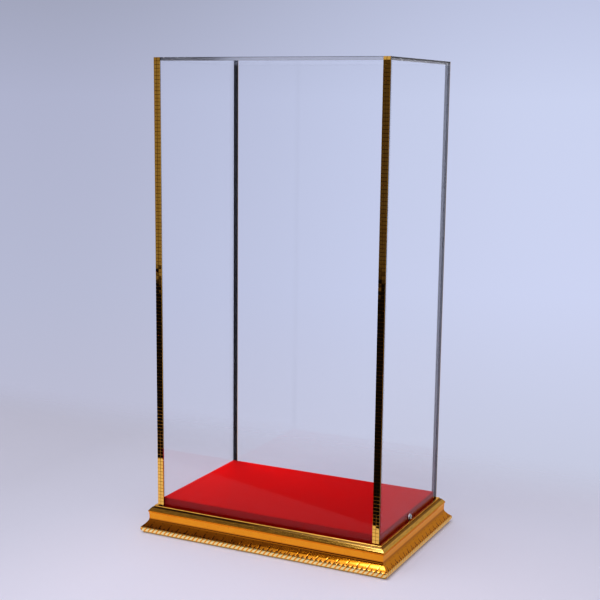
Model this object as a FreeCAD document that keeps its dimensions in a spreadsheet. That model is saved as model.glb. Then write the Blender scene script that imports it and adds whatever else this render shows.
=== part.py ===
import FreeCAD, Part
import math
import os
import re
import Sketcher

# Tall clear display case: an acrylic cover with mirror-mosaic corner trims stands in the rebate of a
# gilt moulded base, round a flannel-covered platform. Millimetres, +Z up, front towards -Y, with the
# origin on the ground under the middle of the case.

DIMENSIONS = [
    ("cover_width", 300, "outer width of the clear cover"),
    ("cover_depth", 190, "outer depth of the clear cover"),
    ("case_height", 585, "top of the cover above the ground"),
    ("acrylic", 4, "thickness of the cover's sheets"),
    ("polished_edge", 0.4, "chamfer on the top sheet's outer edges"),
    ("ledge_height", 30, "rebate floor that the cover stands on"),
    ("lip_height", 35, "top of the moulding's lip"),
    ("lip_gap", 0.5, "gap between the lip and the cover"),
    ("lip_width", 2.8, "flat on top of the lip"),
    ("platform_height", 44, "top of the flannel"),
    ("flannel", 0.8, "thickness of the flannel"),
    ("flannel_gap", 0.35, "gap between the flannel and the cover"),
    ("flannel_hem", 10, "height of the flannel's hem"),
    ("moulding_gap", 0.05, "gap between the flannel and the moulding"),
    ("deck_thickness", 12, "platform's top board"),
    ("rail_width", 12, "width of the rails under the deck"),
    ("floor_thickness", 4, "plywood floor board"),
    ("floor_recess", 2, "height of the floor board's underside"),
    ("floor_gap", 0.3, "gap round the floor board"),
    ("bevel_reach", 9.3, "foot of the moulding's bevel, out from the cover's face"),
    ("bevel_height", 28.3, "height of the bevel's foot"),
    ("nose_reach", 9.5, "underside of the rounded nose"),
    ("nose_height", 25.6, "height of the nose's underside"),
    ("nose_radius", 1.6, "roundness of the nose"),
    ("cove_reach", 9.9, "foot of the cove under the nose"),
    ("cove_height", 17, "height of the cove's foot"),
    ("cove_radius", 18, "hollow of the cove"),
    ("flare_reach", 15.9, "foot of the flare"),
    ("flare_radius", 26, "hollow of the flare"),
    ("rope_height", 8, "top of the rope bead at the foot"),
    ("rope_reach", 16, "the rope bead's edge on the ground"),
    ("rope_radius", 7, "roundness of the rope bead"),
    ("mitre_allowance", 18, "blank length past the cover at each mitre"),
    ("tile", 4, "side of one mirror tile"),
    ("tile_gap", 0.33, "joint between tiles"),
    ("tile_thickness", 1, "thickness of the mirror tiles"),
    ("tile_joint_depth", 0.7, "depth of the joints between tiles"),
    ("tile_rows", 127, "rows of tiles in one trim"),
    ("tape_thickness", 0.8, "thickness of the black foam tape behind the tiles"),
    ("screw_height", 38.5, "height of the side screws"),
    ("head_radius", 3.2, "side screw's pan head"),
    ("head_height", 2.5, "height of the pan head"),
    ("head_crown", 4.6, "radius of the pan head's crown"),
    ("shank_radius", 1.9, "side screw's shank over the thread"),
    ("screw_length", 22, "side screw's length under the head"),
    ("screw_tip", 3, "length of the screws' points"),
    ("recess_width", 0.9, "slot width of the cross recess"),
    ("recess_span", 3.6, "span of the cross recess"),
    ("recess_depth", 1.3, "depth of the cross recess"),
    ("screw_clearance", 0.05, "radial clearance round the side screw's shank"),
    ("washer_radius", 3.4, "nylon washer under the side screw's head"),
    ("washer_thickness", 0.8, "thickness of the nylon washer"),
    ("washer_gap", 0.05, "gap between the washer and the cover"),
    ("slot_radius", 2.3, "half width of the cover's screw slots"),
    ("wood_head_radius", 3.2, "countersunk wood screw's head"),
    ("wood_shank_radius", 1.6, "wood screw's shank"),
    ("deck_screw_length", 28, "screws from the deck into the rails"),
    ("deck_screw_span", 240, "distance between the outer deck screws"),
    ("floor_screw_length", 16, "screws from the floor board into the rails"),
    ("floor_screw_span", 120, "distance between the floor board's screws"),
    ("frame_screw_length", 22, "screws from the rails into the mouldings"),
    ("frame_screw_span", 190, "distance between the screws of a long moulding"),
    ("frame_screw_height", 20, "height of the screws into the mouldings"),
    ("nail_height", 6, "height of a mitre nail"),
    ("nail_leg", 3.2, "reach of a mitre nail's leg into each moulding"),
    ("nail_sheet", 0.7, "thickness of a mitre nail"),
    ("nail_offset", 3, "first mitre nail, out along the mitre from the cover's corner"),
    ("nail_pitch", 9, "distance between the two nails of a mitre"),
]

doc = FreeCAD.newDocument("DisplayCase")
sheet = doc.addObject("Spreadsheet::Sheet", "dims")
for row, (alias, amount, note) in enumerate(DIMENSIONS, start=1):
    sheet.set(f"A{row}", note)
    sheet.set(f"B{row}", str(amount))
    sheet.setAlias(f"B{row}", alias)
doc.recompute()

ALIASES = {alias for alias, amount, note in DIMENSIONS}
# Half sizes of the platform's wooden core and of the space inside the mouldings.
CORE_HALF_WIDTH = "(cover_width / 2 - acrylic - flannel_gap - flannel)"
CORE_HALF_DEPTH = "(cover_depth / 2 - acrylic - flannel_gap - flannel)"
DECK_TOP = "(platform_height - flannel)"
DECK_UNDERSIDE = "(platform_height - flannel - deck_thickness)"
FLOOR_TOP = "(floor_recess + floor_thickness)"
REBATE = "(acrylic + flannel_gap - moulding_gap)"
TRIM_WIDTH = "(2 * tile + tile_gap)"
TRIM_HEIGHT = "(tile_rows * (tile + tile_gap) - tile_gap)"

X_AXIS = FreeCAD.Vector(1, 0, 0)
Y_AXIS = FreeCAD.Vector(0, 1, 0)
Z_AXIS = FreeCAD.Vector(0, 0, 1)

nodes = []


def formula(text):
    """Write a formula in the sheet's aliases the way an expression needs it."""
    return re.sub(r"[a-z_]+", lambda word: "dims." + word[0] if word[0] in ALIASES else word[0], text)


def number(text):
    """The present value of a formula."""
    result = sheet.evalExpression(formula(text))
    return float(getattr(result, "Value", result))


def bind(thing, **formulas):
    for name, text in formulas.items():
        thing.setExpression(name, formula(text))


def locate(thing, x="0", y="0", z="0", rotation=None):
    """Place an object, with its position bound to the sheet."""
    if rotation is not None:
        thing.Placement = FreeCAD.Placement(FreeCAD.Vector(), rotation)
    for axis, text in (("x", x), ("y", y), ("z", z)):
        thing.setExpression("Placement.Base." + axis, formula(text))


def node(thing, label):
    """Name a finished sub-part; its label is its file's name."""
    thing.Label = label
    nodes.append(thing)
    return thing


def block(name, length, width, height, x, y, z):
    """A box centred on x and y, standing on z."""
    thing = doc.addObject("Part::Box", name)
    bind(thing, Length=length, Width=width, Height=height)
    locate(thing, f"({x}) - ({length}) / 2", f"({y}) - ({width}) / 2", z)
    return thing


def cylinder(name, radius, height, x, y, z, rotation):
    thing = doc.addObject("Part::Cylinder", name)
    bind(thing, Radius=radius, Height=height)
    locate(thing, x, y, z, rotation)
    return thing


def cut(name, base, tools):
    """Take one or more tools out of a base."""
    tool = tools[0]
    if len(tools) > 1:
        tool = doc.addObject("Part::Compound", name + "_tools")
        tool.Links = tools
    thing = doc.addObject("Part::Cut", name)
    thing.Base = base
    thing.Tool = tool
    return thing


def new_body(name):
    return doc.addObject("PartDesign::Body", name)


def new_sketch(body, name, role):
    """A sketch on one of the body's origin planes."""
    sketch = body.newObject("Sketcher::SketchObject", name)
    plane = next(item for item in body.Origin.OriginFeatures if item.Role == role)
    sketch.AttachmentSupport = [(plane, "")]
    sketch.MapMode = "FlatFace"
    return sketch


def arc_through(start, end, radius, turn):
    """The arc from start to end that bulges to the left (turn 1) or right (turn -1) of the way."""
    chord = end - start
    half = chord.Length / 2
    side = FreeCAD.Vector(-chord.y, chord.x, 0).normalize() * turn
    rise = radius - math.sqrt(radius ** 2 - half ** 2)
    return Part.Arc(start, (start + end) / 2 + side * rise, end)


def outline(sketch, corners):
    """Draw a closed outline through corners.

    A corner is (x, y), or (x, y, radius, turn) where the way to the next corner is an arc.
    Every corner's x and y and every radius is bound to the sheet.
    """
    points = [FreeCAD.Vector(number(corner[0]), number(corner[1]), 0) for corner in corners]
    first = sketch.GeometryCount
    ends = []
    for index, corner in enumerate(corners):
        start = points[index]
        end = points[(index + 1) % len(points)]
        if len(corner) == 2:
            sketch.addGeometry(Part.LineSegment(start, end), False)
            ends.append((1, 2))
            continue
        sketch.addGeometry(arc_through(start, end, number(corner[2]), corner[3]), False)
        # A sketch keeps every arc anticlockwise, so one that bulges left is stored end first.
        ends.append((2, 1) if corner[3] > 0 else (1, 2))
    for index, corner in enumerate(corners):
        edge = first + index
        after = (index + 1) % len(corners)
        sketch.addConstraint(
            Sketcher.Constraint("Coincident", edge, ends[index][1], first + after, ends[after][0]))
        for kind, text in (("DistanceX", corner[0]), ("DistanceY", corner[1])):
            place = sketch.addConstraint(
                Sketcher.Constraint(kind, -1, 1, edge, ends[index][0], number(text)))
            sketch.setExpression(f"Constraints[{place}]", formula(text))
        if len(corner) == 4:
            place = sketch.addConstraint(Sketcher.Constraint("Radius", edge, number(corner[2])))
            sketch.setExpression(f"Constraints[{place}]", formula(corner[2]))


def rectangle(sketch, left, bottom, right, top):
    outline(sketch, [(left, bottom), (right, bottom), (right, top), (left, top)])


def pad(body, sketch, length, symmetric=False):
    feature = body.newObject("PartDesign::Pad", body.Name + "_pad")
    feature.Profile = sketch
    feature.setExpression("Length", formula(length))
    if symmetric:
        feature.SideType = "Symmetric"
    doc.recompute()
    return feature


def pocket(body, sketch, length, upwards):
    """Cut a sketch's outline out of the body, and make sure that it did."""
    before = body.Shape.Volume
    feature = body.newObject("PartDesign::Pocket", sketch.Name + "_pocket")
    feature.Profile = sketch
    feature.setExpression("Length", formula(length))
    feature.Reversed = upwards
    doc.recompute()
    if feature.Shape.Volume >= before:
        raise RuntimeError(f"{feature.Name} cuts nothing")
    return feature


def repeat(body, feature, sketch, axis, length, count):
    """Repeat a feature along one axis of its sketch."""
    pattern = body.newObject("PartDesign::LinearPattern", f"{feature.Name}_{axis}")
    pattern.Originals = [feature]
    pattern.Direction = (sketch, [axis])
    pattern.setExpression("Length", formula(length))
    pattern.setExpression("Occurrences", formula(count))
    body.Tip = pattern
    doc.recompute()
    return pattern


# ---------------------------------------------------------------- fasteners

def screw_solid(body, profile):
    """Turn a screw's half profile, drawn as radius and height, about the body's Z axis."""
    sketch = new_sketch(body, body.Name + "_profile", "XZ_Plane")
    outline(sketch, profile)
    turned = body.newObject("PartDesign::Revolution", body.Name + "_turned")
    turned.Profile = sketch
    turned.ReferenceAxis = (sketch, ["V_Axis"])
    turned.Angle = 360
    doc.recompute()
    return turned


def wood_screws(label, length, rotation, place, rows=()):
    """Countersunk wood screws, head up along the body's Z axis, repeated along its X and Y axes."""
    body = new_body(label)
    neck = "wood_head_radius - wood_shank_radius"
    turned = screw_solid(body, [
        ("0", "0"),
        ("wood_head_radius", "0"),
        ("wood_shank_radius", f"-({neck})"),
        ("wood_shank_radius", f"-({length} - screw_tip)"),
        ("0", f"-{length}"),
    ])
    if rows:
        guide = new_sketch(body, label + "_rows", "XY_Plane")
        group = body.newObject("PartDesign::MultiTransform", label + "_group")
        group.Originals = [turned]
        steps = []
        for axis, span, count in rows:
            step = body.newObject("PartDesign::LinearPattern", f"{label}_{axis}")
            step.Direction = (guide, [axis])
            step.setExpression("Length", formula(span))
            step.Occurrences = count
            steps.append(step)
        group.Transformations = steps
        body.Tip = group
        doc.recompute()
    locate(body, *place, rotation)
    return node(body, label)


UPRIGHT = FreeCAD.Rotation()
UPSIDE_DOWN = FreeCAD.Rotation(X_AXIS, 180)

deck_screws = wood_screws(
    "deck_screws", "deck_screw_length", UPRIGHT,
    ("-deck_screw_span / 2", f"-({CORE_HALF_DEPTH} - rail_width / 2)", DECK_TOP),
    [("H_Axis", "deck_screw_span", 3), ("V_Axis", f"2 * {CORE_HALF_DEPTH} - rail_width", 2)])

floor_screws = wood_screws(
    "floor_board_screws", "floor_screw_length", UPSIDE_DOWN,
    ("-floor_screw_span / 2", f"{CORE_HALF_DEPTH} - rail_width / 2", "floor_recess"),
    [("H_Axis", "floor_screw_span", 2), ("V_Axis", f"2 * {CORE_HALF_DEPTH} - rail_width", 2)])

# Each side of the base, by the turn about Z that takes the front side to it.
SIDES = {"front": 0, "right": 90, "rear": 180, "left": 270}
ALONG_FRONT = FreeCAD.Rotation(X_AXIS, -90)

frame_screws = {}
for side, angle in SIDES.items():
    long_side = side in ("front", "rear")
    half = CORE_HALF_DEPTH if long_side else CORE_HALF_WIDTH
    turn = FreeCAD.Rotation(Z_AXIS, angle)
    outward = turn.multVec(-Y_AXIS)
    along = turn.multVec(X_AXIS)
    reach = f"({half} - rail_width)"
    start = "-frame_screw_span / 2" if long_side else "0"
    frame_screws[side] = wood_screws(
        f"frame_screws_{side}", "frame_screw_length", turn.multiply(ALONG_FRONT),
        (f"{outward.x:.0f} * {reach} + {along.x:.0f} * ({start})",
         f"{outward.y:.0f} * {reach} + {along.y:.0f} * ({start})",
         "frame_screw_height"),
        [("H_Axis", "frame_screw_span", 2)] if long_side else [])

mitre_nails = {}
for corner, (sign_x, sign_y, angle) in {
        "front_right": (1, -1, -45), "rear_right": (1, 1, 45),
        "rear_left": (-1, 1, 135), "front_left": (-1, -1, 225)}.items():
    body = new_body(f"mitre_nails_{corner}")
    sketch = new_sketch(body, body.Name + "_outline", "XY_Plane")
    # A V of sheet steel whose point looks out along the mitre.
    outline(sketch, [
        ("nail_offset", "0"),
        ("nail_offset - nail_leg", "nail_leg"),
        ("nail_offset - nail_leg - nail_sheet", "nail_leg - nail_sheet"),
        ("nail_offset - 2 * nail_sheet", "0"),
        ("nail_offset - nail_leg - nail_sheet", "nail_sheet - nail_leg"),
        ("nail_offset - nail_leg", "-nail_leg"),
    ])
    nail = pad(body, sketch, "nail_height")
    repeat(body, nail, sketch, "H_Axis", "nail_pitch", "2")
    locate(body, f"{sign_x} * cover_width / 2", f"{sign_y} * cover_depth / 2", "0",
           FreeCAD.Rotation(Z_AXIS, angle))
    mitre_nails[corner] = node(body, body.Name)

# ---------------------------------------------------------------- side screws and washers

screw_holes = []
for side, sign in (("left", -1), ("right", 1)):
    # The screw's own Z axis points out of the case.
    outwards = FreeCAD.Rotation(Z_AXIS, X_AXIS * sign)
    washer_face = "(cover_width / 2 + washer_gap)"
    seat = f"({washer_face} + washer_thickness)"

    body = new_body(f"side_screw_{side}")
    screw_solid(body, [
        ("0", "head_height"),
        ("0", "-screw_length"),
        ("shank_radius", "-(screw_length - screw_tip)"),
        ("shank_radius", "0"),
        ("head_radius", "0"),
        ("head_radius", "head_height / 3", "head_crown", -1),
    ])
    for axis, length, width in (("X", "recess_span", "recess_width"), ("Y", "recess_width", "recess_span")):
        recess = new_sketch(body, f"{body.Name}_recess_{axis}", "XY_Plane")
        recess.AttachmentOffset = FreeCAD.Placement(FreeCAD.Vector(0, 0, 1), FreeCAD.Rotation())
        recess.setExpression("AttachmentOffset.Base.z", formula("head_height"))
        rectangle(recess, f"-{length} / 2", f"-{width} / 2", f"{length} / 2", f"{width} / 2")
        pocket(body, recess, "recess_depth", False)
    locate(body, f"{sign} * {seat}", "0", "screw_height", outwards)
    node(body, body.Name)

    disc = cylinder(f"washer_disc_{side}", "washer_radius", "washer_thickness",
                    f"{sign} * {washer_face}", "0", "screw_height", outwards)
    bore = cylinder(f"washer_bore_{side}", "shank_radius + screw_clearance", "washer_thickness",
                    f"{sign} * {washer_face}", "0", "screw_height", outwards)
    node(cut(f"washer_{side}", disc, [bore]), f"screw_washer_{side}")

    # Round-bottomed hole in the platform for the screw's thread, open to the side.
    hole_depth = "(screw_length + screw_clearance)"
    screw_holes.append(cylinder(f"screw_hole_{side}", "shank_radius + screw_clearance", hole_depth,
                                f"{sign} * ({seat} - {hole_depth})", "0", "screw_height", outwards))

# ---------------------------------------------------------------- platform

deck = block("deck_blank", f"2 * {CORE_HALF_WIDTH}", f"2 * {CORE_HALF_DEPTH}", "deck_thickness",
             "0", "0", DECK_UNDERSIDE)
node(cut("deck_board", deck, [deck_screws] + screw_holes), "platform_deck")

rail_height = f"({DECK_UNDERSIDE} - {FLOOR_TOP})"
for side, sign in (("front", -1), ("rear", 1)):
    rail = block(f"rail_{side}_blank", f"2 * {CORE_HALF_WIDTH}", "rail_width", rail_height,
                 "0", f"{sign} * ({CORE_HALF_DEPTH} - rail_width / 2)", FLOOR_TOP)
    rail = cut(f"rail_{side}", rail, [deck_screws, floor_screws, frame_screws[side]])
    node(rail, f"platform_rail_{side}")
for side, sign in (("left", -1), ("right", 1)):
    rail = block(f"rail_{side}_blank", "rail_width", f"2 * ({CORE_HALF_DEPTH} - rail_width)", rail_height,
                 f"{sign} * ({CORE_HALF_WIDTH} - rail_width / 2)", "0", FLOOR_TOP)
    node(cut(f"rail_{side}", rail, [frame_screws[side]]), f"platform_rail_{side}")

floor_blank = block("floor_blank", f"cover_width - 2 * ({REBATE} + floor_gap)",
                    f"cover_depth - 2 * ({REBATE} + floor_gap)", "floor_thickness", "0", "0", "floor_recess")
node(cut("floor_board_cut", floor_blank, [floor_screws]), "floor_board")

cloth_height = "(platform_height - flannel_hem)"
cloth = block("cloth_outside", f"2 * ({CORE_HALF_WIDTH} + flannel)", f"2 * ({CORE_HALF_DEPTH} + flannel)",
              cloth_height, "0", "0", "flannel_hem")
cloth_inside = block("cloth_inside", f"2 * {CORE_HALF_WIDTH}", f"2 * {CORE_HALF_DEPTH}",
                     f"{cloth_height} - flannel", "0", "0", "flannel_hem")
node(cut("cloth", cloth, [cloth_inside] + list(frame_screws.values()) + screw_holes), "platform_flannel")

# ---------------------------------------------------------------- gilt mouldings

MOULDING_PROFILE = [
    (REBATE, "0"),
    (REBATE, "ledge_height"),
    ("-lip_gap", "ledge_height"),
    ("-lip_gap", "lip_height"),
    ("-(lip_gap + lip_width)", "lip_height"),
    ("-bevel_reach", "bevel_height", "nose_radius", -1),
    ("-nose_reach", "nose_height", "cove_radius", 1),
    ("-cove_reach", "cove_height", "flare_radius", 1),
    ("-flare_reach", "rope_height", "rope_radius", -1),
    ("-rope_reach", "0"),
]

for side, angle in SIDES.items():
    long_side = side in ("front", "rear")
    run = "cover_width" if long_side else "cover_depth"
    out = "cover_depth / 2" if long_side else "cover_width / 2"
    body = new_body(f"moulding_{side}")
    # The body's own frame lies on the cover's face, with the moulding along X and outside towards -Y.
    profile = new_sketch(body, f"moulding_{side}_profile", "YZ_Plane")
    outline(profile, MOULDING_PROFILE)
    pad(body, profile, f"{run} + 2 * mitre_allowance", symmetric=True)
    for end in (-1, 1):
        mitre = new_sketch(body, f"moulding_{side}_mitre_{'right' if end > 0 else 'left'}", "XY_Plane")
        outline(mitre, [
            (f"{end} * ({run} / 2 + mitre_allowance)", "-mitre_allowance"),
            (f"{end} * ({run} / 2 + mitre_allowance)", "mitre_allowance"),
            (f"{end} * ({run} / 2 - mitre_allowance)", "mitre_allowance"),
        ])
        pocket(body, mitre, "lip_height", True)
    turn = FreeCAD.Rotation(Z_AXIS, angle)
    outward = turn.multVec(-Y_AXIS)
    locate(body, f"{outward.x:.0f} * {out}", f"{outward.y:.0f} * {out}", "0", turn)
    nails = [group for corner, group in mitre_nails.items() if side in corner.split("_")]
    node(cut(f"frame_{side}", body, nails + [frame_screws[side]]), f"frame_moulding_{side}")

# ---------------------------------------------------------------- clear cover

panel_height = "(case_height - acrylic - ledge_height)"
for side, sign in (("front", -1), ("rear", 1)):
    node(block(f"panel_{side}", "cover_width", "acrylic", panel_height,
               "0", f"{sign} * (cover_depth - acrylic) / 2", "ledge_height"), f"cover_panel_{side}")
for side, sign in (("left", -1), ("right", 1)):
    middle = f"{sign} * (cover_width - acrylic) / 2"
    panel = block(f"panel_{side}_blank", "acrylic", "cover_depth - 2 * acrylic", panel_height,
                  middle, "0", "ledge_height")
    # Open-bottomed slot, so that the cover lifts off its side screw.
    slot_foot = block(f"slot_foot_{side}", "acrylic", "2 * slot_radius", "screw_height - ledge_height",
                      middle, "0", "ledge_height")
    slot_top = cylinder(f"slot_top_{side}", "slot_radius", "acrylic",
                        f"{middle} - acrylic / 2", "0", "screw_height", FreeCAD.Rotation(Y_AXIS, 90))
    node(cut(f"panel_{side}", panel, [slot_foot, slot_top]), f"cover_panel_{side}")

top = new_body("panel_top")
top_outline = new_sketch(top, "panel_top_outline", "XY_Plane")
rectangle(top_outline, "-cover_width / 2", "-cover_depth / 2", "cover_width / 2", "cover_depth / 2")
top_pad = pad(top, top_outline, "acrylic")
top_face = next(f"Face{index}" for index, face in enumerate(top_pad.Shape.Faces, start=1)
                if face.CenterOfMass.z > number("acrylic") - 1e-6)
top_edge = top.newObject("PartDesign::Chamfer", "panel_top_edge")
top_edge.Base = (top_pad, [top_face])
top_edge.setExpression("Size", formula("polished_edge"))
doc.recompute()
locate(top, "0", "0", "case_height - acrylic")
node(top, "cover_panel_top")

# ---------------------------------------------------------------- corner trims

for face, sign_y in (("front", -1), ("rear", 1)):
    for side, sign_x in (("left", -1), ("right", 1)):
        corner = f"{face}_{side}"
        middle = f"{sign_x} * (cover_width - {TRIM_WIDTH}) / 2"
        node(block(f"tape_{corner}", TRIM_WIDTH, "tape_thickness", TRIM_HEIGHT,
                   middle, f"{sign_y} * (cover_depth + tape_thickness) / 2",
                   f"case_height - {TRIM_HEIGHT}"), f"trim_tape_{corner}")

        # The tile strip's own frame: X across, Y up the case, Z out of the tiles' faces.
        strip = new_body(f"mosaic_{corner}")
        strip_outline = new_sketch(strip, f"mosaic_{corner}_outline", "XY_Plane")
        rectangle(strip_outline, f"-{TRIM_WIDTH} / 2", "0", f"{TRIM_WIDTH} / 2", TRIM_HEIGHT)
        pad(strip, strip_outline, "tile_thickness")
        column_joint = new_sketch(strip, f"mosaic_{corner}_column", "XY_Plane")
        row_joint = new_sketch(strip, f"mosaic_{corner}_row", "XY_Plane")
        for joint in (column_joint, row_joint):
            joint.AttachmentOffset = FreeCAD.Placement(FreeCAD.Vector(0, 0, 1), FreeCAD.Rotation())
            joint.setExpression("AttachmentOffset.Base.z", formula("tile_thickness"))
        rectangle(column_joint, "-tile_gap / 2", "0", "tile_gap / 2", TRIM_HEIGHT)
        rectangle(row_joint, f"-{TRIM_WIDTH} / 2", "tile", f"{TRIM_WIDTH} / 2", "tile + tile_gap")
        pocket(strip, column_joint, "tile_joint_depth", False)
        row = pocket(strip, row_joint, "tile_joint_depth", False)
        repeat(strip, row, row_joint, "V_Axis", "(tile_rows - 2) * (tile + tile_gap)", "tile_rows - 1")
        upright = FreeCAD.Rotation(X_AXIS, 90)
        facing = FreeCAD.Rotation(Z_AXIS, 0 if sign_y < 0 else 180).multiply(upright)
        locate(strip, middle, f"{sign_y} * (cover_depth / 2 + tape_thickness)",
               f"case_height - {TRIM_HEIGHT}", facing)
        node(strip, f"trim_mosaic_{corner}")

# ---------------------------------------------------------------- checks and files

doc.recompute()
for thing in doc.Objects:
    if "Invalid" in thing.State or "Error" in thing.State:
        raise RuntimeError(f"{thing.Name} failed: {thing.State}")
for thing in nodes:
    if thing.Shape.isNull() or not thing.Shape.isValid():
        raise RuntimeError(f"{thing.Label} has no valid shape")

os.makedirs("parts", exist_ok=True)
for thing in nodes:
    thing.Shape.exportStep(f"parts/{thing.Label}.step")
print(f"{len(nodes)} nodes written")
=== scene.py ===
import math
import random

import bmesh
import bpy
from mathutils import Matrix, Vector, noise


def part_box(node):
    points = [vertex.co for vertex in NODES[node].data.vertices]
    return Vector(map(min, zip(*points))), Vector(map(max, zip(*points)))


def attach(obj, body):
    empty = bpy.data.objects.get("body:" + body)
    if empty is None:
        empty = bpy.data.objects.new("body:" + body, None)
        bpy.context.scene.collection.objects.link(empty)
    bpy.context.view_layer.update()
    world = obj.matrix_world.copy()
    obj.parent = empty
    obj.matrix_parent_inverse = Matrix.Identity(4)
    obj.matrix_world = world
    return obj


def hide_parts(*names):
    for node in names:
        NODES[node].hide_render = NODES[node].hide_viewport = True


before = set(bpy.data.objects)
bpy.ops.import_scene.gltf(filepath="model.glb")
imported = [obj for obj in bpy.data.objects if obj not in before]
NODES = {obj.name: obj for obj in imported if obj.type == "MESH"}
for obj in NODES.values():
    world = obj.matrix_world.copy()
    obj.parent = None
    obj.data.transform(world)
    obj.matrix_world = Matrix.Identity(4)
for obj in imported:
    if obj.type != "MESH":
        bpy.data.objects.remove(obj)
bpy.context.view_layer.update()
MM = 0.001


# ---------------------------------------------------------------- node helpers

class Shader:
    """A material or world under construction; each call adds one node and returns it."""

    def __init__(self, tree):
        self.tree = tree
        tree.nodes.clear()

    def add(self, kind, inputs=None, **settings):
        node = self.tree.nodes.new(kind)
        for name, setting in settings.items():
            setattr(node, name, setting)
        for name, given in (inputs or {}).items():
            socket = node.inputs[name]
            if isinstance(given, bpy.types.NodeSocket):
                self.tree.links.new(given, socket)
            else:
                socket.default_value = given
        return node

    def math(self, operation, first, second=0.0, third=0.0):
        return self.add("ShaderNodeMath", {0: first, 1: second, 2: third}, operation=operation).outputs[0]

    def mix(self, factor, first, second, blend="MIX"):
        """Mix two colours."""
        node = self.add("ShaderNodeMix", data_type="RGBA", blend_type=blend)
        for index, given in ((0, factor), (6, first), (7, second)):
            if isinstance(given, bpy.types.NodeSocket):
                self.tree.links.new(given, node.inputs[index])
            else:
                node.inputs[index].default_value = given
        return node.outputs[2]

    def ramp(self, factor, *stops):
        """A colour ramp; a stop is (position, colour)."""
        node = self.add("ShaderNodeValToRGB", {0: factor})
        for index, (position, colour) in enumerate(stops):
            if index < 2:
                element = node.color_ramp.elements[index]
                element.position = position
            else:
                element = node.color_ramp.elements.new(position)
            element.color = colour
        return node.outputs[0]

    def noise(self, place, scale, detail=3.0, roughness=0.5):
        return self.add("ShaderNodeTexNoise", {"Vector": place, "Scale": scale, "Detail": detail,
                                               "Roughness": roughness}).outputs[0]

    def bump(self, height, distance, strength):
        return self.add("ShaderNodeBump", {"Height": height, "Distance": distance,
                                           "Strength": strength}).outputs[0]

    def remap(self, given, low, high, first=0.0, last=1.0, interpolation="LINEAR"):
        """Carry low to high over to first to last, and hold the ends."""
        return self.add("ShaderNodeMapRange", {0: given, 1: low, 2: high, 3: first, 4: last},
                        interpolation_type=interpolation).outputs[0]

    def axes(self, place):
        return self.add("ShaderNodeSeparateXYZ", {0: place}).outputs

    def stretched(self, place, scale):
        return self.add("ShaderNodeMapping", {"Vector": place, "Scale": scale}).outputs[0]


def grey(level):
    return (level, level, level, 1.0)


def new_material(name):
    material = bpy.data.materials.new(name)
    material.use_nodes = True
    return material, Shader(material.node_tree)


def object_place(shader):
    """Position in the object's own frame, which is the row's frame, in metres."""
    return shader.add("ShaderNodeTexCoord").outputs["Object"]


def finish_with(shader, surface):
    shader.add("ShaderNodeOutputMaterial", {"Surface": surface})


# ---------------------------------------------------------------- materials

ACRYLIC_IOR = 1.49
ACRYLIC_GLOSS = 0.46      # the faces' share of a full reflection, as in sheet with a slight matt bloom
EDGE_ROUGHNESS = 0.5      # the top sheet's sawn and polished edges
ON_FACE = 0.03 * MM       # how near to a plane counts as lying on it
PAST_FACE = 0.05 * MM     # how far from a plane counts as past it


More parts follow.
